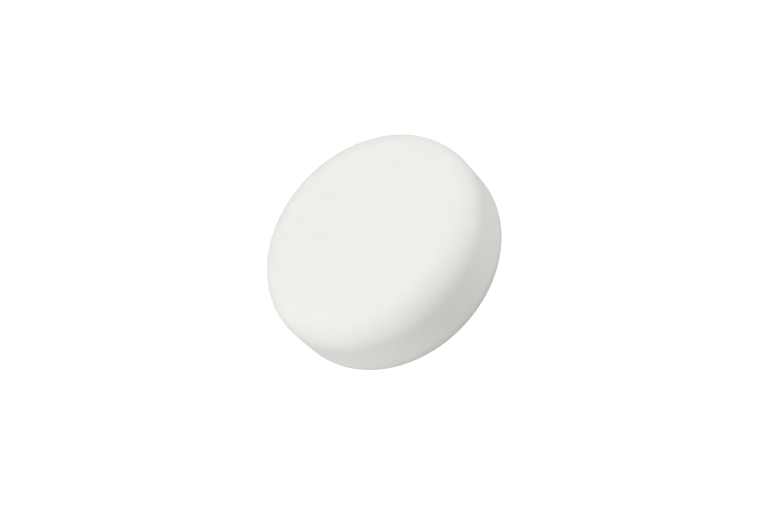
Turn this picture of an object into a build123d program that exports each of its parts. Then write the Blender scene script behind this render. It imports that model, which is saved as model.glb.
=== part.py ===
"""Round nail buffer block: a soft foam puck in a fine white abrasive cover.

The block is a laminate. A foam core carries a stretch cover that is glued over the
working face, down the side and round the rear shoulder, and a flat disc of the same
abrasive sheet closes the back. Each sheet is a backing film under a coat of fine grit,
held to the foam by a glue film, and every layer is a solid of its own.

Frame: millimetres, +Z up along the puck's axis. The origin is the centre of the rear
face, which the block rests on, and the working face looks up.
"""

import os

from build123d import *

# Overall form, measured over the grit
DIAMETER = 50.0
THICKNESS = 20.0
FACE_SHOULDER_RADIUS = 7.1  # from the working face into the side wall
REAR_SHOULDER_RADIUS = 6.2  # from the side wall into the rear face

# Layers, from the outside in
GRIT_COAT = 0.20
BACKING_FILM = 0.30
GLUE_FILM = 0.10

# The closing disc stands clear of the cover's turned-under edge by this much all round
CLOSING_GAP = 0.10

# How far each boundary between layers lies inside the outer surface
UNDER_GRIT = GRIT_COAT
UNDER_BACKING = UNDER_GRIT + BACKING_FILM
UNDER_GLUE = UNDER_BACKING + GLUE_FILM

SIDE_RADIUS = DIAMETER / 2
FACE_RADIUS = SIDE_RADIUS - FACE_SHOULDER_RADIUS  # flat part of the working face
COVER_EDGE_RADIUS = SIDE_RADIUS - REAR_SHOULDER_RADIUS  # where the rear shoulder ends
CLOSING_DISC_RADIUS = COVER_EDGE_RADIUS - CLOSING_GAP


def half_outline(inset):
    """The puck's outline that far under its surface, from the cover's edge to the axis.

    Both shoulders keep their centres, so the layers between two outlines are even.
    """
    rear_centre = (COVER_EDGE_RADIUS, REAR_SHOULDER_RADIUS)
    face_centre = (FACE_RADIUS, THICKNESS - FACE_SHOULDER_RADIUS)
    rear_shoulder = CenterArc(rear_centre, REAR_SHOULDER_RADIUS - inset, -90, 90)
    face_shoulder = CenterArc(face_centre, FACE_SHOULDER_RADIUS - inset, 0, 90)
    side_wall = Line(rear_shoulder @ 1, face_shoulder @ 0)
    face = Line(face_shoulder @ 1, (0, THICKNESS - inset))
    return [rear_shoulder, side_wall, face_shoulder, face]


def turned(edges):
    """A solid turned about the puck's axis from a closed half section."""
    section = make_face(Curve(edges))
    return revolve(Plane.XZ * section, Axis.Z)


def foam_core():
    """The foam puck that gives the block its shape and its spring."""
    outline = half_outline(UNDER_GLUE)
    rear_point = (0, UNDER_GLUE)
    rear = Line(rear_point, outline[0] @ 0)
    axis = Line(outline[-1] @ 1, rear_point)
    return turned([*outline, axis, rear])


def cover_layer(outer, inner):
    """One layer of the cover, open at the back where the closing disc goes."""
    outside, inside = half_outline(outer), half_outline(inner)
    axis = Line(outside[-1] @ 1, inside[-1] @ 1)
    edge = Line(inside[0] @ 0, outside[0] @ 0)
    return turned([*outside, axis, *inside, edge])


def rear_layer(outer, inner):
    """One layer of the closing disc, level with the same layer of the cover."""
    upright = (Align.CENTER, Align.CENTER, Align.MIN)
    disc = Cylinder(CLOSING_DISC_RADIUS, inner - outer, align=upright)
    return Pos(0, 0, outer) * disc


LAYERS = {
    "grit_coat": (0, UNDER_GRIT),
    "backing_film": (UNDER_GRIT, UNDER_BACKING),
    "glue_film": (UNDER_BACKING, UNDER_GLUE),
}

nodes = {"foam_core": foam_core()}
for layer, (outer, inner) in LAYERS.items():
    nodes[f"cover_{layer}"] = cover_layer(outer, inner)
    nodes[f"rear_{layer}"] = rear_layer(outer, inner)

os.makedirs("parts", exist_ok=True)
for node, shape in nodes.items():
    shape.label = node
    export_step(shape, f"parts/{node}.step")
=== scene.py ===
import math

import bpy
from bpy.props import FloatProperty, FloatVectorProperty, IntProperty, PointerProperty
from mathutils import Matrix, Vector


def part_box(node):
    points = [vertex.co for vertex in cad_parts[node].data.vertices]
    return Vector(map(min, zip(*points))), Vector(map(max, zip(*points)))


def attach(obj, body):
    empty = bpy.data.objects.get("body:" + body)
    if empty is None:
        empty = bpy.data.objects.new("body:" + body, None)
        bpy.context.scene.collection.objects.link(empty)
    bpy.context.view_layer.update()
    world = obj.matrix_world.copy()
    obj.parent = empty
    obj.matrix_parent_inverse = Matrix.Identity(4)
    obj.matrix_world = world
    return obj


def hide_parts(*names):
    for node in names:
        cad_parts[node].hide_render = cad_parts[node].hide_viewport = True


bl_info = {
    "name": "Round Nail Buffer Block",
    "version": (1, 0, 0),
    "blender": (4, 5, 0),
    "location": "3D View > Sidebar > Buffer",
    "description": "Builds a round foam buffer with a fine grit cover, its closing disc and a plain stage",
    "category": "Add Mesh",
}

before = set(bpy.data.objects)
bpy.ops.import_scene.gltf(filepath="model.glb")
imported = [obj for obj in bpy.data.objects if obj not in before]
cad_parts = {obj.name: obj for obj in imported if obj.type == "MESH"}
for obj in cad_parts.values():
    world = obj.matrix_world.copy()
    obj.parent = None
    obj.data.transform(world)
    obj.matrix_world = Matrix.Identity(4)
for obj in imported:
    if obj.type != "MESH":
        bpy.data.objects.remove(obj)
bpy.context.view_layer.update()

MM = 0.001
QUARTER_TURN = math.pi / 2

# Points nearer than this are welded, which is far under the smallest step in any mesh here
WELD = 0.0005 * MM

# Points of a CAD node within this of a height are taken to lie at it
SAME_HEIGHT = 0.001 * MM

# The rings that round off a cut edge, the last of which runs down the cut itself
EDGE_RINGS = 5

# Rows of faces over each bend of a lining, which the flats between need not have
LINING_ROWS = 8

# The grid of rings has four sides, each as many faces along as twice its rings
SIDES_PER_RING = 8


# ---------------------------------------------------------------- sizes read from the frame


def ring_radii(node, height):
    """The radii, from the axis, of a CAD node's points at that height."""
    points = [v.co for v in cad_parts[node].data.vertices]
    return [math.hypot(p.x, p.y) for p in points if abs(p.z - height) < SAME_HEIGHT]


COVER_LOW, COVER_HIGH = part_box("cover_grit_coat")
FOAM_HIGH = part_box("foam_core")[1]
FILM_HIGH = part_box("cover_backing_film")[1]
DISC_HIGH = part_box("rear_grit_coat")[1]

SIDE_RADIUS = COVER_HIGH.x
FACE_HEIGHT = COVER_HIGH.z
FACE_FLAT_RADIUS = max(ring_radii("cover_grit_coat", FACE_HEIGHT))
COVER_EDGE_RADIUS = min(ring_radii("cover_grit_coat", COVER_LOW.z))
GRIT_THICKNESS = FACE_HEIGHT - FILM_HIGH.z
FOAM_INSET = FACE_HEIGHT - FOAM_HIGH.z


# ---------------------------------------------------------------- settings


class BlockSizes(bpy.types.PropertyGroup):
    side_radius: FloatProperty(
        name="Side radius", description="From the axis to the side wall",
        default=SIDE_RADIUS, min=MM, unit="LENGTH", precision=5)
    height: FloatProperty(
        name="Height", description="From the back to the working face",
        default=FACE_HEIGHT, min=MM, unit="LENGTH", precision=5)
    face_shoulder: FloatProperty(
        name="Face shoulder", description="Radius of the bend from the working face to the side",
        default=SIDE_RADIUS - FACE_FLAT_RADIUS, min=MM, unit="LENGTH", precision=5)
    rear_shoulder: FloatProperty(
        name="Rear shoulder", description="Radius of the bend from the side to the back",
        default=SIDE_RADIUS - COVER_EDGE_RADIUS, min=MM, unit="LENGTH", precision=5)
    grit_thickness: FloatProperty(
        name="Grit thickness", description="Thickness of the grit coat",
        default=GRIT_THICKNESS, min=0.01 * MM, unit="LENGTH", precision=6)
    foam_inset: FloatProperty(
        name="Foam inset", description="How far the foam lies inside the outer surface",
        default=FOAM_INSET, min=0.01 * MM, unit="LENGTH", precision=6)
    disc_radius: FloatProperty(
        name="Disc radius", description="Radius of the disc that closes the back",
        default=DISC_HIGH.x, min=MM, unit="LENGTH", precision=5)
    cut_edge: FloatProperty(
        name="Cut edge", description="Radius worn on the cut edges of the grit coat",
        default=0.05 * MM, min=0.0, unit="LENGTH", precision=6)


class BlockFinish(bpy.types.PropertyGroup):
    grit_colour: FloatVectorProperty(
        name="Grit", description="Colour of the grit coat",
        default=(0.885, 0.872, 0.836), min=0.0, max=1.0, size=3, subtype="COLOR")
    film_colour: FloatVectorProperty(
        name="Film", description="Colour of the backing film",
        default=(0.80, 0.77, 0.70), min=0.0, max=1.0, size=3, subtype="COLOR")
    glue_colour: FloatVectorProperty(
        name="Glue", description="Colour of the glue film",
        default=(0.72, 0.63, 0.42), min=0.0, max=1.0, size=3, subtype="COLOR")
    foam_colour: FloatVectorProperty(
        name="Foam", description="Colour of the foam",
        default=(0.87, 0.86, 0.83), min=0.0, max=1.0, size=3, subtype="COLOR")
    grain_size: FloatProperty(
        name="Grain size", description="Width of one lump of the surface relief",
        default=0.85 * MM, min=0.05 * MM, unit="LENGTH", precision=5)
    grain_depth: FloatProperty(
        name="Grain depth", description="Depth of the surface relief",
        default=0.06 * MM, min=0.0, unit="LENGTH", precision=6)
    wave_size: FloatProperty(
        name="Wave size", description="Width of one slow wave of the foam under the cover",
        default=13.0 * MM, min=MM, unit="LENGTH", precision=5)
    wave_depth: FloatProperty(
        name="Wave depth", description="Depth of the slow waves",
        default=0.03 * MM, min=0.0, unit="LENGTH", precision=6)
    pore_size: FloatProperty(
        name="Pore size", description="Width of one foam cell",
        default=0.9 * MM, min=0.05 * MM, unit="LENGTH", precision=5)
    pore_depth: FloatProperty(
        name="Pore depth", description="Depth of the cells cut open at the foam's surface",
        default=0.06 * MM, min=0.0, unit="LENGTH", precision=6)
    cover_rings: IntProperty(
        name="Cover rings", description="Rings of faces from the cover's centre to its edge",
        default=138, min=EDGE_RINGS + 20)
    disc_rings: IntProperty(
        name="Disc rings", description="Rings of faces on the closing disc",
        default=76, min=EDGE_RINGS + 10)
    foam_rings: IntProperty(
        name="Foam rings", description="Rings of faces on the foam",
        default=90, min=EDGE_RINGS + 10)


class StageSettings(bpy.types.PropertyGroup):
    camera_distance: FloatProperty(
        name="Camera distance", description="From the camera to the middle of the block",
        default=0.3303, min=0.05, unit="LENGTH")
    camera_lens: FloatProperty(
        name="Lens", description="Focal length on a 36 mm wide sensor",
        default=74.8, min=10.0, unit="CAMERA")
    camera_tilt: FloatProperty(
        name="Tilt", description="Angle between the line of sight and the block's axis",
        default=math.radians(43.32), unit="ROTATION")
    camera_roll: FloatProperty(
        name="Roll", description="How far the block's axis leans to the left of upright in the view",
        default=math.radians(45.81), unit="ROTATION")
    aside: FloatProperty(
        name="Aside", description="How far the block stands to the right of the view's middle",
        default=-0.70 * MM, unit="LENGTH", precision=5)
    above: FloatProperty(
        name="Above", description="How far the block stands above the view's middle",
        default=1.39 * MM, unit="LENGTH", precision=5)
    light_size: FloatProperty(
        name="Light size", description="Width of each softbox",
        default=0.6, min=0.01, unit="LENGTH")
    light_distance: FloatProperty(
        name="Light distance", description="From each softbox to the block",
        default=1.0, min=0.1, unit="LENGTH")
    fill: FloatProperty(
        name="Fill", description="Brightness of the even light from all round",
        default=0.534, min=0.0)


# ---------------------------------------------------------------- node helpers


def feed(tree, value, socket):
    """Joins a node's number or socket to an input, or sets the input to a plain value."""
    if isinstance(value, Number):
        tree.links.new(value.socket, socket)
    elif isinstance(value, bpy.types.NodeSocket):
        tree.links.new(value, socket)
    else:
        socket.default_value = value


class Number:
    """A number that nodes work out, so that a shape's rule can be written as a sum."""

    def __init__(self, tree, socket):
        self.tree = tree
        self.socket = socket

    def calc(self, operation, *others):
        node = self.tree.nodes.new("ShaderNodeMath")
        node.operation = operation
        for socket, value in zip(node.inputs, (self, *others)):
            feed(self.tree, value, socket)
        return Number(self.tree, node.outputs[0])

    def __add__(self, other):
        return self.calc("ADD", other)

    def __sub__(self, other):
        return self.calc("SUBTRACT", other)

    def __mul__(self, other):
        return self.calc("MULTIPLY", other)

    def __truediv__(self, other):
        return self.calc("DIVIDE", other)

    def __neg__(self):
        return self * -1.0

    def sin(self):
        return self.calc("SINE")

    def cos(self):
        return self.calc("COSINE")

    def size(self):
        return self.calc("ABSOLUTE")

    def least(self, other):
        return self.calc("MINIMUM", other)

    def most(self, other):
        return self.calc("MAXIMUM", other)

    def between(self, low, high):
        return self.most(low).least(high)


def add(tree, kind, inputs=(), **settings):
    """A new node with those settings, its inputs given as (name or index, value) pairs."""
    node = tree.nodes.new(kind)
    for name, value in settings.items():
        setattr(node, name, value)
    for name, value in inputs:
        feed(tree, value, node.inputs[name])
    return node


def new_tree(name, kind, inputs, outputs):
    """A node tree with those sockets, and its input and output nodes."""
    tree = bpy.data.node_groups.new(name, kind)
    for in_out, sockets in (("INPUT", inputs), ("OUTPUT", outputs)):
        for label, socket_type in sockets:
            tree.interface.new_socket(name=label, in_out=in_out, socket_type=socket_type)
    return tree, tree.nodes.new("NodeGroupInput"), tree.nodes.new("NodeGroupOutput")


# ---------------------------------------------------------------- the shape's rule


PIECE_INPUTS = (
    ("Flat radius", "NodeSocketFloat"),
    ("Height", "NodeSocketFloat"),
    ("Face bend", "NodeSocketFloat"),
    ("Wall", "NodeSocketFloat"),
    ("Rear bend", "NodeSocketFloat"),
    ("Coat", "NodeSocketFloat"),
    ("Cut edge", "NodeSocketFloat"),
    ("Cut lean", "NodeSocketFloat"),
    ("Back radius", "NodeSocketFloat"),
    ("Rings", "NodeSocketInt"),
    ("Edge rings", "NodeSocketInt"),
    ("Grain size", "NodeSocketFloat"),
    ("Grain depth", "NodeSocketFloat"),
    ("Wave size", "NodeSocketFloat"),
    ("Wave depth", "NodeSocketFloat"),
    ("Seed", "NodeSocketFloat"),
    ("Turn over", "NodeSocketFloat"),
    ("Lift", "NodeSocketFloat"),
    ("Material", "NodeSocketMaterial"),
)


def square_rings(tree, rings):
    """A square grid read as rings: the grid, each point's share of the way out, and its direction.

    The points of one ring are evenly spaced round the circle, so the middle has no pole.
    """
    across = rings * 2.0 + 1.0
    grid = add(tree, "GeometryNodeMeshGrid", (
        ("Size X", 2.0), ("Size Y", 2.0), ("Vertices X", across), ("Vertices Y", across)))
    spot = tree.nodes.new("GeometryNodeInputPosition")
    parts = add(tree, "ShaderNodeSeparateXYZ", ((0, spot.outputs[0]),))
    x, y = Number(tree, parts.outputs["X"]), Number(tree, parts.outputs["Y"])
    wide = x.size().calc("GREATER_THAN", y.size())
    tall = -wide + 1.0
    turn = (y / x * wide + x / y * tall) * (math.pi / 4)
    side = (x * wide + y * tall).calc("SIGN")
    along, athwart = side * turn.cos(), side * turn.sin()
    return (
        grid.outputs["Mesh"],
        x.size().most(y.size()),
        along * wide + athwart * tall,
        athwart * wide + along * tall,
    )


def on_outline(sizes, flat, face_turn, down, rear_turn):
    """Radius, height and lean where the outline has gone that far over each of its stretches.

    The lean is the angle from straight up to the way that the surface faces.
    """
    radius = flat + sizes["face bend"] * face_turn.sin()
    radius = radius - sizes["rear bend"] * (-rear_turn.cos() + 1.0)
    height = sizes["height"] - sizes["face bend"] * (-face_turn.cos() + 1.0)
    height = height - down - sizes["rear bend"] * rear_turn.sin()
    return radius, height, face_turn + rear_turn


def outer_skin(tree, given, sizes):
    """The visible sheet: face, side and rear shoulder, then over its cut edge."""
    rings = given["Rings"]
    mesh, share, cosine, sine = square_rings(tree, rings)
    ring = share * rings
    body_rings = rings - given["Edge rings"]
    face_arc = sizes["face bend"] * QUARTER_TURN
    rear_arc = (sizes["rear bend"] * QUARTER_TURN - given["Cut edge"]).most(0.0)
    length = sizes["flat"] + face_arc + sizes["wall"] + rear_arc
    walked = (ring / body_rings).least(1.0) * length
    past_flat = walked - sizes["flat"]
    past_face = past_flat - face_arc
    past_wall = past_face - sizes["wall"]
    radius, height, lean = on_outline(
        sizes,
        walked.least(sizes["flat"]),
        (past_flat / sizes["face bend"]).between(0.0, QUARTER_TURN),
        past_face.between(0.0, sizes["wall"]),
        (past_wall / sizes["rear bend"]).between(0.0, QUARTER_TURN),
    )

    # The cut edge turns square off the outline on its own small radius, then runs straight
    bend_rings = (given["Edge rings"] - 1.0).most(1.0)
    bent = ((ring - body_rings) / bend_rings).between(0.0, 1.0) * QUARTER_TURN
    run = (ring - rings + 1.0).between(0.0, 1.0) * (given["Coat"] - given["Cut edge"])
    cut = given["Cut lean"]
    radius = radius + given["Cut edge"] * ((cut + bent).sin() - cut.sin()) - run * cut.sin()
    height = height + given["Cut edge"] * ((cut + bent).cos() - cut.cos()) - run * cut.cos()
    leaning = lean + bent

    flat_place = add(tree, "ShaderNodeCombineXYZ", (
        ("X", radius * cosine), ("Y", radius * sine), ("Z", height)))
    facing = add(tree, "ShaderNodeCombineXYZ", (
        ("X", leaning.sin() * cosine), ("Y", leaning.sin() * sine), ("Z", leaning.cos())))
    on_body = (body_rings - ring).between(0.0, 1.0)
    depth = relief(tree, given, flat_place.outputs[0]) * on_body
    sunk = add(tree, "ShaderNodeVectorMath", (
        (0, facing.outputs[0]), ("Scale", -depth)), operation="SCALE")
    place = add(tree, "ShaderNodeVectorMath", (
        (0, flat_place.outputs[0]), (1, sunk.outputs[0])), operation="ADD")
    moved = add(tree, "GeometryNodeSetPosition", (
        ("Geometry", mesh), ("Position", place.outputs[0])))
    return moved.outputs[0]


def relief(tree, given, place):
    """How far the surface lies inside its outline, from fine lumps and slow waves.

    Both only ever cut in, so that no lump stands proud of the block's size.
    """
    total = None
    for size, depth, detail, shift in (
        ("Grain size", "Grain depth", 2.0, 0.0),
        ("Wave size", "Wave depth", 1.0, 31.7),
    ):
        cloud = add(tree, "ShaderNodeTexNoise", (
            ("Vector", place),
            ("W", given["Seed"] + shift),
            ("Scale", given[size].calc("POWER", -1.0)),
            ("Detail", detail),
            ("Roughness", 0.55)), noise_dimensions="4D", normalize=True)
        cut = Number(tree, cloud.outputs[0]).between(0.0, 1.0) * given[depth]
        total = cut if total is None else total + cut
    return total


def lining(tree, given, sizes):
    """The unseen inner face of a coat, from its cut edge back to the middle of the face."""
    columns = given["Rings"] * SIDES_PER_RING + 1.0
    rows = 2 * LINING_ROWS + 2
    sheet = add(tree, "GeometryNodeMeshGrid", (
        ("Size X", 2 * math.pi), ("Size Y", float(rows)),
        ("Vertices X", columns), ("Vertices Y", rows + 1)))
    spot = tree.nodes.new("GeometryNodeInputPosition")
    parts = add(tree, "ShaderNodeSeparateXYZ", ((0, spot.outputs[0]),))
    angle = Number(tree, parts.outputs["X"])
    row = Number(tree, parts.outputs["Y"]) + rows / 2
    bend = float(LINING_ROWS)
    inner = dict(sizes)
    for name in ("face bend", "rear bend", "height"):
        inner[name] = sizes[name] - given["Coat"]
    radius, height, _ = on_outline(
        inner,
        (-(row - 2 * bend - 1.0).between(0.0, 1.0) + 1.0) * sizes["flat"],
        (-((row - bend - 1.0) / bend).between(0.0, 1.0) + 1.0) * QUARTER_TURN,
        (-(row - bend).between(0.0, 1.0) + 1.0) * sizes["wall"],
        (-(row / bend).between(0.0, 1.0) + 1.0) * QUARTER_TURN,
    )
    place = add(tree, "ShaderNodeCombineXYZ", (
        ("X", radius * angle.cos()), ("Y", radius * angle.sin()), ("Z", height)))
    moved = add(tree, "GeometryNodeSetPosition", (
        ("Geometry", sheet.outputs["Mesh"]), ("Position", place.outputs[0])))
    return add(tree, "GeometryNodeFlipFaces", ((0, moved.outputs[0]),)).outputs[0]


def flat_back(tree, given):
    """One flat round face that closes a piece which is solid behind."""
    disc = add(tree, "GeometryNodeMeshCircle", (
        ("Vertices", given["Rings"] * SIDES_PER_RING), ("Radius", given["Back radius"])),
        fill_type="NGON")
    return add(tree, "GeometryNodeFlipFaces", ((0, disc.outputs[0]),)).outputs[0]


def piece_tree(name, hollow):
    """The rule for one turned piece: its skin, and a lining or a flat back to close it."""
    tree, entry, end = new_tree(
        name, "GeometryNodeTree", PIECE_INPUTS, (("Geometry", "NodeSocketGeometry"),))
    given = {label: Number(tree, entry.outputs[label]) for label, _ in PIECE_INPUTS[:-1]}
    sizes = {
        "flat": given["Flat radius"],
        "height": given["Height"],
        "face bend": given["Face bend"],
        "wall": given["Wall"],
        "rear bend": given["Rear bend"],
    }
    skin = outer_skin(tree, given, sizes)
    closing = lining(tree, given, sizes) if hollow else flat_back(tree, given)
    joined = tree.nodes.new("GeometryNodeJoinGeometry")
    tree.links.new(skin, joined.inputs[0])
    tree.links.new(closing, joined.inputs[0])
    welded = add(tree, "GeometryNodeMergeByDistance", (
        ("Geometry", joined.outputs[0]), ("Distance", WELD)))
    turn = add(tree, "ShaderNodeCombineXYZ", (("X", given["Turn over"]),))
    lift = add(tree, "ShaderNodeCombineXYZ", (("Z", given["Lift"]),))
    placed = add(tree, "GeometryNodeTransform", (
        ("Geometry", welded.outputs[0]), ("Translation", lift.outputs[0]),
        ("Rotation", turn.outputs[0])))
    smooth = add(tree, "GeometryNodeSetShadeSmooth", (("Geometry", placed.outputs[0]),))
    real = add(tree, "GeometryNodeRealizeInstances", (("Geometry", smooth.outputs[0]),))
    painted = add(tree, "GeometryNodeSetMaterial", (
        ("Geometry", real.outputs[0]), ("Material", entry.outputs["Material"])))
    tree.links.new(painted.outputs[0], end.inputs[0])
    return tree


def make_piece(name, hollow, values, nodes):
    """Runs the rule with those values, and gives a plain mesh that stands for the CAD nodes."""
    seed_mesh = bpy.data.meshes.new(name + "_start")
    maker = bpy.data.objects.new(name + "_start", seed_mesh)
    bpy.context.scene.collection.objects.link(maker)
    tree = piece_tree(name + "_rule", hollow)
    modifier = maker.modifiers.new("rule", "NODES")
    modifier.node_group = tree
    for item in tree.interface.items_tree:
        if item.item_type == "SOCKET" and item.in_out == "INPUT":
            modifier[item.identifier] = values[item.name]
    bpy.context.view_layer.update()
    evaluated = maker.evaluated_get(bpy.context.evaluated_depsgraph_get())
    mesh = bpy.data.meshes.new_from_object(evaluated)
    if not mesh.polygons:
        raise RuntimeError(f"{name} came out empty")
    bpy.data.objects.remove(maker)
    bpy.data.meshes.remove(seed_mesh)
    mesh.name = name
    piece = bpy.data.objects.new(name, mesh)
    bpy.context.scene.collection.objects.link(piece)
    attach(piece, "root")
    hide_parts(*nodes)
    return piece


# ---------------------------------------------------------------- materials


# How far the clouds and the lumps each sway the colour, and the lumps' usual value.
# The clouds are random tone; the lumps' sway is painted shade in the hollows between lumps and a painted
# highlight on their tops
CLOUD_SHARE = 0.8
LUMP_PAINTED_SHADE_SHARE = 0.5
MEAN_LUMP = 0.6

# How much more the painted shade loses of red, green and blue, which paints a warm bounce into it, and how
# far the painted highlight on the lumps' tops is lifted
PAINTED_SHADE_WARMTH = (1.0, 1.1, 1.5)
PAINTED_HIGHLIGHT_LIFT = 0.6

# How much the lumps sway the roughness
ROUGHNESS_SPREAD = 0.10

# How the bump's height is shared between lumps and finer noise, which is this much finer
LUMP_HEIGHT = 0.6
FINE_HEIGHT = 0.4
FINE_TO_LUMP = 1.7

# How steeply a speck falls away from its middle. A higher rarity leaves fewer tall specks, and
# the spread and the least set how tall they are.
SPECK_SLOPE = 1.3
TALL_RARITY = 2.0
TALL_SPREAD = 1.4
LEAST_TALL = 0.15

# The rough ground between the specks: how much finer it is than they are, and how high
JAG_FINENESS = 2.5
JAG_SHARE = 0.35


def grain_group():
    """Grain shared by every finish: lumps, slow clouds, fine specks, and a height for bump."""
    if "Fine grain" in bpy.data.node_groups:
        return bpy.data.node_groups["Fine grain"]
    tree, entry, end = new_tree(
        "Fine grain", "ShaderNodeTree",
        (("Place", "NodeSocketVector"), ("Grain", "NodeSocketFloat"),
         ("Cloud", "NodeSocketFloat"), ("Speck", "NodeSocketFloat")),
        (("Lumps", "NodeSocketFloat"), ("Clouds", "NodeSocketFloat"),
         ("Height", "NodeSocketFloat"), ("Specks", "NodeSocketFloat")))
    grain = Number(tree, entry.outputs["Grain"])
    cloud = Number(tree, entry.outputs["Cloud"])
    speck = Number(tree, entry.outputs["Speck"])
    cells = add(tree, "ShaderNodeTexVoronoi", (
        ("Vector", entry.outputs["Place"]), ("Scale", grain.calc("POWER", -1.0)),
        ("Smoothness", 0.4)), feature="SMOOTH_F1")
    fine = add(tree, "ShaderNodeTexNoise", (
        ("Vector", entry.outputs["Place"]), ("Scale", grain.calc("POWER", -1.0) * FINE_TO_LUMP),
        ("Detail", 3.0), ("Roughness", 0.6)))
    slow = add(tree, "ShaderNodeTexNoise", (
        ("Vector", entry.outputs["Place"]), ("Scale", cloud.calc("POWER", -1.0)),
        ("Detail", 2.0)))
    points = add(tree, "ShaderNodeTexVoronoi", (
        ("Vector", entry.outputs["Place"]), ("Scale", speck.calc("POWER", -1.0))))
    lumps = (-Number(tree, cells.outputs["Distance"]) + 1.0).between(0.0, 1.0)
    cones = (-Number(tree, points.outputs["Distance"]) * SPECK_SLOPE + 1.0).between(0.0, 1.0)
    chance = add(tree, "ShaderNodeSeparateColor", ((0, points.outputs["Color"]),))
    proud = Number(tree, chance.outputs[0]).calc("POWER", TALL_RARITY) * TALL_SPREAD + LEAST_TALL
    jagged = add(tree, "ShaderNodeTexNoise", (
        ("Vector", entry.outputs["Place"]), ("Scale", speck.calc("POWER", -1.0) * JAG_FINENESS),
        ("Detail", 2.0), ("Roughness", 0.7)))
    specks = cones * proud + Number(tree, jagged.outputs[0]) * JAG_SHARE
    height = lumps * LUMP_HEIGHT + Number(tree, fine.outputs[0]) * FINE_HEIGHT
    for value, label in (
        (lumps, "Lumps"), (Number(tree, slow.outputs[0]), "Clouds"), (height, "Height"),
        (specks, "Specks"),
    ):
        feed(tree, value, end.inputs[label])
    return tree


def finish_material(name, colour, grain, cloud, speck, contrast, bump, speck_bump,
                    roughness, sheen, soften):
    """A matte finish with its own grain and specks, in millimetres, over slow clouds of colour, with
    painted shade in the hollows between lumps and a painted highlight on their tops.
    """
    material = bpy.data.materials.new(name)
    material.use_nodes = True
    tree = material.node_tree
    surface = tree.nodes["Principled BSDF"]
    where = tree.nodes.new("ShaderNodeTexCoord")
    in_mm = add(tree, "ShaderNodeMapping", (
        ("Vector", where.outputs["Object"]), ("Scale", (1 / MM,) * 3)))
    group = add(tree, "ShaderNodeGroup", node_tree=grain_group())
    for label, value in (
        ("Place", in_mm.outputs[0]), ("Grain", grain), ("Cloud", cloud), ("Speck", speck),
    ):
        feed(tree, value, group.inputs[label])
    clouds = Number(tree, group.outputs["Clouds"])
    lumps = Number(tree, group.outputs["Lumps"])
    # The colour's mix: random cloud tone, plus painted shade where the lumps are low and a painted
    # highlight where they are high
    depth = ((clouds - 0.5) * CLOUD_SHARE + (lumps - MEAN_LUMP) * LUMP_PAINTED_SHADE_SHARE + 0.5).between(0.0, 1.0)
    cloud_tone_and_painted_shade = add(tree, "ShaderNodeMix", (("Factor", depth),), data_type="RGBA")
    # A darker, warmer copy of the colour as painted shade, and a lighter copy as painted highlight
    painted_shade = [c * (1 - contrast * warm) for c, warm in zip(colour, PAINTED_SHADE_WARMTH)]
    light = [min(1.0, c * (1 + contrast * PAINTED_HIGHLIGHT_LIFT)) for c in colour]
    cloud_tone_and_painted_shade.inputs[6].default_value = (*painted_shade, 1.0)
    cloud_tone_and_painted_shade.inputs[7].default_value = (*light, 1.0)
    tree.links.new(cloud_tone_and_painted_shade.outputs[2], surface.inputs["Base Color"])
    uneven = (-lumps + MEAN_LUMP) * ROUGHNESS_SPREAD + roughness
    feed(tree, uneven.between(0.0, 1.0), surface.inputs["Roughness"])
    relief_node = add(tree, "ShaderNodeBump", (
        ("Height", group.outputs["Height"]), ("Strength", 1.0), ("Distance", bump * MM)))
    specks_node = add(tree, "ShaderNodeBump", (
        ("Height", group.outputs["Specks"]), ("Strength", 1.0), ("Distance", speck_bump * MM),
        ("Normal", relief_node.outputs[0])))
    tree.links.new(specks_node.outputs[0], surface.inputs["Normal"])
    surface.inputs["IOR"].default_value = 1.40
    surface.inputs["Sheen Weight"].default_value = sheen
    surface.inputs["Sheen Roughness"].default_value = 0.6
    if soften:
        surface.inputs["Subsurface Weight"].default_value = soften
        surface.inputs["Subsurface Radius"].default_value = (1.0, 0.9, 0.75)
        surface.inputs["Subsurface Scale"].default_value = 0.6 * MM
    return material


def grit_material(finish):
    name = "fine_white_grit"
    if name in bpy.data.materials:
        return bpy.data.materials[name]
    return finish_material(
        name, finish.grit_colour, grain=0.48, cloud=5.0, speck=0.13, contrast=0.013, bump=0.042,
        speck_bump=0.022, roughness=0.88, sheen=0.06, soften=0.08)


# ---------------------------------------------------------------- the pieces


class BUFFER_OT_cover(bpy.types.Operator):
    """Builds the grit coat over the face, the side and the rear shoulder"""

    bl_idname = "buffer.cover"
    bl_label = "Grit cover"

    def execute(self, context):
        sizes, finish = context.scene.buffer_sizes, context.scene.buffer_finish
        cover = make_piece("grit_cover", True, {
            "Flat radius": sizes.side_radius - sizes.face_shoulder,
            "Height": sizes.height,
            "Face bend": sizes.face_shoulder,
            "Wall": sizes.height - sizes.face_shoulder - sizes.rear_shoulder,
            "Rear bend": sizes.rear_shoulder,
            "Coat": sizes.grit_thickness,
            "Cut edge": sizes.cut_edge,
            "Cut lean": math.pi,
            "Back radius": 0.0,
            "Rings": finish.cover_rings,
            "Edge rings": EDGE_RINGS,
            "Grain size": finish.grain_size,
            "Grain depth": finish.grain_depth,
            "Wave size": finish.wave_size,
            "Wave depth": finish.wave_depth,
            "Seed": 3.0,
            "Turn over": 0.0,
            "Lift": 0.0,
            "Material": grit_material(finish),
        }, ["cover_grit_coat"])
        return {"FINISHED"}


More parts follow.
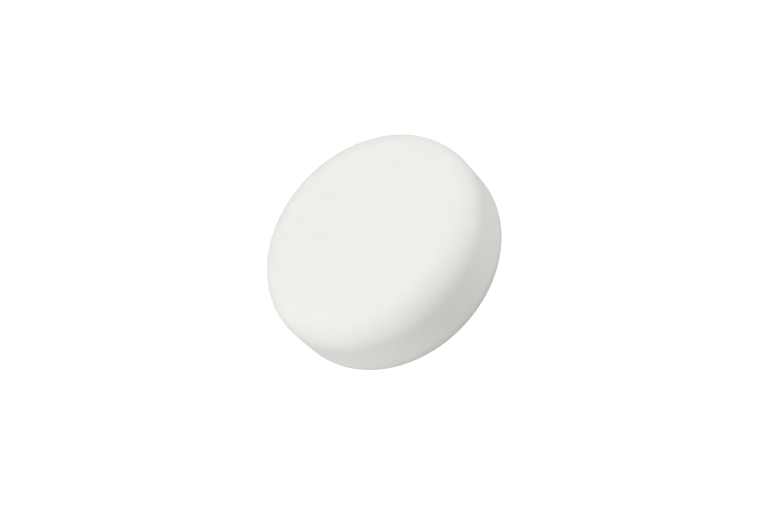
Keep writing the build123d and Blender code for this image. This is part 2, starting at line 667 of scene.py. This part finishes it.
class BUFFER_OT_disc(bpy.types.Operator):
    """Builds the grit disc that closes the back, its grit facing down"""

    bl_idname = "buffer.disc"
    bl_label = "Closing disc"

    def execute(self, context):
        sizes, finish = context.scene.buffer_sizes, context.scene.buffer_finish
        make_piece("grit_closing_disc", False, {
            "Flat radius": sizes.disc_radius - sizes.cut_edge,
            "Height": sizes.grit_thickness,
            "Face bend": 0.0,
            "Wall": 0.0,
            "Rear bend": 0.0,
            "Coat": sizes.grit_thickness,
            "Cut edge": sizes.cut_edge,
            "Cut lean": 0.0,
            "Back radius": sizes.disc_radius,
            "Rings": finish.disc_rings,
            "Edge rings": EDGE_RINGS,
            "Grain size": finish.grain_size,
            "Grain depth": finish.grain_depth,
            "Wave size": finish.wave_size,
            "Wave depth": finish.wave_depth / 2,
            "Seed": 11.0,
            "Turn over": math.pi,
            "Lift": sizes.grit_thickness,
            "Material": grit_material(finish),
        }, ["rear_grit_coat"])
        return {"FINISHED"}


class BUFFER_OT_foam(bpy.types.Operator):
    """Builds the foam puck, with its cells cut open at the surface"""

    bl_idname = "buffer.foam"
    bl_label = "Foam"

    def execute(self, context):
        sizes, finish = context.scene.buffer_sizes, context.scene.buffer_finish
        inset = sizes.foam_inset
        foam = make_piece("foam_puck", False, {
            "Flat radius": sizes.side_radius - sizes.face_shoulder,
            "Height": sizes.height - 2 * inset,
            "Face bend": sizes.face_shoulder - inset,
            "Wall": sizes.height - sizes.face_shoulder - sizes.rear_shoulder,
            "Rear bend": sizes.rear_shoulder - inset,
            "Coat": 0.0,
            "Cut edge": 0.0,
            "Cut lean": math.pi,
            "Back radius": sizes.side_radius - sizes.rear_shoulder,
            "Rings": finish.foam_rings,
            "Edge rings": 0,
            "Grain size": finish.pore_size,
            "Grain depth": finish.pore_depth,
            "Wave size": finish.wave_size,
            "Wave depth": 0.0,
            "Seed": 23.0,
            "Turn over": 0.0,
            "Lift": inset,
            "Material": finish_material(
                "cut_foam", finish.foam_colour, grain=0.55, cloud=7.0, speck=0.2, contrast=0.06,
                bump=0.08, speck_bump=0.02, roughness=0.90, sheen=0.10, soften=0.20),
        }, ["foam_core"])
        return {"FINISHED"}


class BUFFER_OT_films(bpy.types.Operator):
    """Gives the backing and glue films, which show only in the joint, their own finishes"""

    bl_idname = "buffer.films"
    bl_label = "Films"

    def execute(self, context):
        finish = context.scene.buffer_finish
        looks = {
            "backing_film": finish_material(
                "woven_backing", finish.film_colour, grain=0.30, cloud=3.0, speck=0.1,
                contrast=0.05, bump=0.02, speck_bump=0.01, roughness=0.84, sheen=0.15,
                soften=0.0),
            "glue_film": finish_material(
                "dried_glue", finish.glue_colour, grain=0.80, cloud=4.0, speck=0.4, contrast=0.08,
                bump=0.01, speck_bump=0.0, roughness=0.42, sheen=0.0, soften=0.30),
        }
        for layer, material in looks.items():
            for part in ("cover", "rear"):
                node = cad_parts[f"{part}_{layer}"]
                node.data.materials.clear()
                node.data.materials.append(material)
        return {"FINISHED"}


# ---------------------------------------------------------------- the stage


# Just over full white, so that the ground never dips below it
CLEAN_WHITE = 1.1

# Half the floor's width, how far it lies under the block, and how much light it gives back
FLOOR_REACH = 1.6
FLOOR_DROP = 0.02 * MM
FLOOR_TONE = 0.55

# Each softbox's name, its bearing and height round the block in degrees, and its power in watts.
# Bearing 0 is the camera's side, and 90 is to the camera's right.
SOFTBOXES = (
    ("overhead", 0.0, 90.0, 2.95),
    ("front", 0.0, 50.0, 1.22),
    ("right_low", 90.0, 15.0, 2.24),
    ("left_low", 270.0, 15.0, 2.49),
)


def white_to_camera(tree, plain, bright_kind):
    """A shader that is clean white to the camera, and lights the block as the plain one does."""
    eye = tree.nodes.new("ShaderNodeLightPath")
    clean = add(tree, bright_kind, (
        ("Color", (1.0, 1.0, 1.0, 1.0)), ("Strength", CLEAN_WHITE)))
    return add(tree, "ShaderNodeMixShader", (
        (0, eye.outputs["Is Camera Ray"]), (1, plain.outputs[0]), (2, clean.outputs[0])))


class BUFFER_OT_stage(bpy.types.Operator):
    """Builds the pale floor, the softboxes, the even fill and the camera"""

    bl_idname = "buffer.stage"
    bl_label = "Stage"

    def execute(self, context):
        scene, stage = context.scene, context.scene.buffer_stage
        scene.view_settings.view_transform = "Standard"
        self.floor(scene)
        self.lights(scene, stage)
        self.camera(scene, stage)
        return {"FINISHED"}

    def floor(self, scene):
        corners = [(-1, -1), (1, -1), (1, 1), (-1, 1)]
        mesh = bpy.data.meshes.new("floor")
        mesh.from_pydata(
            [(x * FLOOR_REACH, y * FLOOR_REACH, -FLOOR_DROP) for x, y in corners],
            [], [(0, 1, 2, 3)])
        floor = bpy.data.objects.new("floor", mesh)
        scene.collection.objects.link(floor)
        material = bpy.data.materials.new("pale_floor")
        material.use_nodes = True
        tree = material.node_tree
        surface = tree.nodes["Principled BSDF"]
        surface.inputs["Base Color"].default_value = (*(FLOOR_TONE,) * 3, 1.0)
        surface.inputs["Roughness"].default_value = 0.9
        surface.inputs["Specular IOR Level"].default_value = 0.0
        top = white_to_camera(tree, surface, "ShaderNodeEmission")
        under = tree.nodes.new("ShaderNodeBsdfTransparent")
        side = tree.nodes.new("ShaderNodeNewGeometry")
        one_sided = add(tree, "ShaderNodeMixShader", (
            (0, side.outputs["Backfacing"]), (1, top.outputs[0]), (2, under.outputs[0])))
        output = tree.nodes["Material Output"]
        tree.links.new(one_sided.outputs[0], output.inputs["Surface"])
        mesh.materials.append(material)

    def lights(self, scene, stage):
        for name, bearing, height, power in SOFTBOXES:
            lamp = bpy.data.lights.new(f"softbox_{name}", "AREA")
            lamp.shape = "DISK"
            lamp.size = stage.light_size
            lamp.energy = power
            light = bpy.data.objects.new(f"softbox_{name}", lamp)
            turn = Matrix.Rotation(math.radians(bearing), 4, "Z")
            lean = Matrix.Rotation(math.radians(90.0 - height), 4, "X")
            light.matrix_world = turn @ lean @ Matrix.Translation((0, 0, stage.light_distance))
            scene.collection.objects.link(light)
        world = bpy.data.worlds.new("even_fill")
        world.use_nodes = True
        scene.world = world
        tree = world.node_tree
        plain = tree.nodes["Background"]
        plain.inputs["Color"].default_value = (1.0, 1.0, 1.0, 1.0)
        plain.inputs["Strength"].default_value = stage.fill
        sky = white_to_camera(tree, plain, "ShaderNodeBackground")
        tree.links.new(sky.outputs[0], tree.nodes["World Output"].inputs["Surface"])

    def camera(self, scene, stage):
        lens = bpy.data.cameras.new("camera")
        lens.sensor_width = 36.0
        lens.lens = stage.camera_lens
        lens.clip_start = 0.01
        lens.clip_end = 10.0
        camera = bpy.data.objects.new("camera", lens)
        scene.collection.objects.link(camera)
        tilt = Matrix.Rotation(stage.camera_tilt, 4, "X")
        roll = Matrix.Rotation(-stage.camera_roll, 4, "Z")
        turned = tilt @ roll
        middle = Vector((0.0, 0.0, scene.buffer_sizes.height / 2))
        seen = Vector((stage.aside, stage.above, -stage.camera_distance))
        turned.translation = middle - turned.to_3x3() @ seen
        camera.matrix_world = turned
        scene.camera = camera


class BUFFER_PT_panel(bpy.types.Panel):
    """Lists the block's pieces and settings in the sidebar"""

    bl_idname = "BUFFER_PT_panel"
    bl_label = "Round Nail Buffer Block"
    bl_space_type = "VIEW_3D"
    bl_region_type = "UI"
    bl_category = "Buffer"

    def draw(self, context):
        for group in ("buffer_sizes", "buffer_finish", "buffer_stage"):
            box = self.layout.box()
            settings = getattr(context.scene, group)
            for name in settings.bl_rna.properties.keys():
                if name not in ("rna_type", "name"):
                    box.prop(settings, name)
        for name in STEPS:
            self.layout.operator(f"buffer.{name}")


STEPS = ("cover", "disc", "foam", "films", "stage")
CLASSES = (
    BlockSizes, BlockFinish, StageSettings, BUFFER_OT_cover, BUFFER_OT_disc,
    BUFFER_OT_foam, BUFFER_OT_films, BUFFER_OT_stage, BUFFER_PT_panel,
)


def register():
    for cls in CLASSES:
        bpy.utils.register_class(cls)
    bpy.types.Scene.buffer_sizes = PointerProperty(type=BlockSizes)
    bpy.types.Scene.buffer_finish = PointerProperty(type=BlockFinish)
    bpy.types.Scene.buffer_stage = PointerProperty(type=StageSettings)


def unregister():
    for name in ("buffer_sizes", "buffer_finish", "buffer_stage"):
        delattr(bpy.types.Scene, name)
    for cls in reversed(CLASSES):
        bpy.utils.unregister_class(cls)


def main():
    register()
    for name in STEPS:
        getattr(bpy.ops.buffer, name)()


if __name__ == "__main__":
    main()
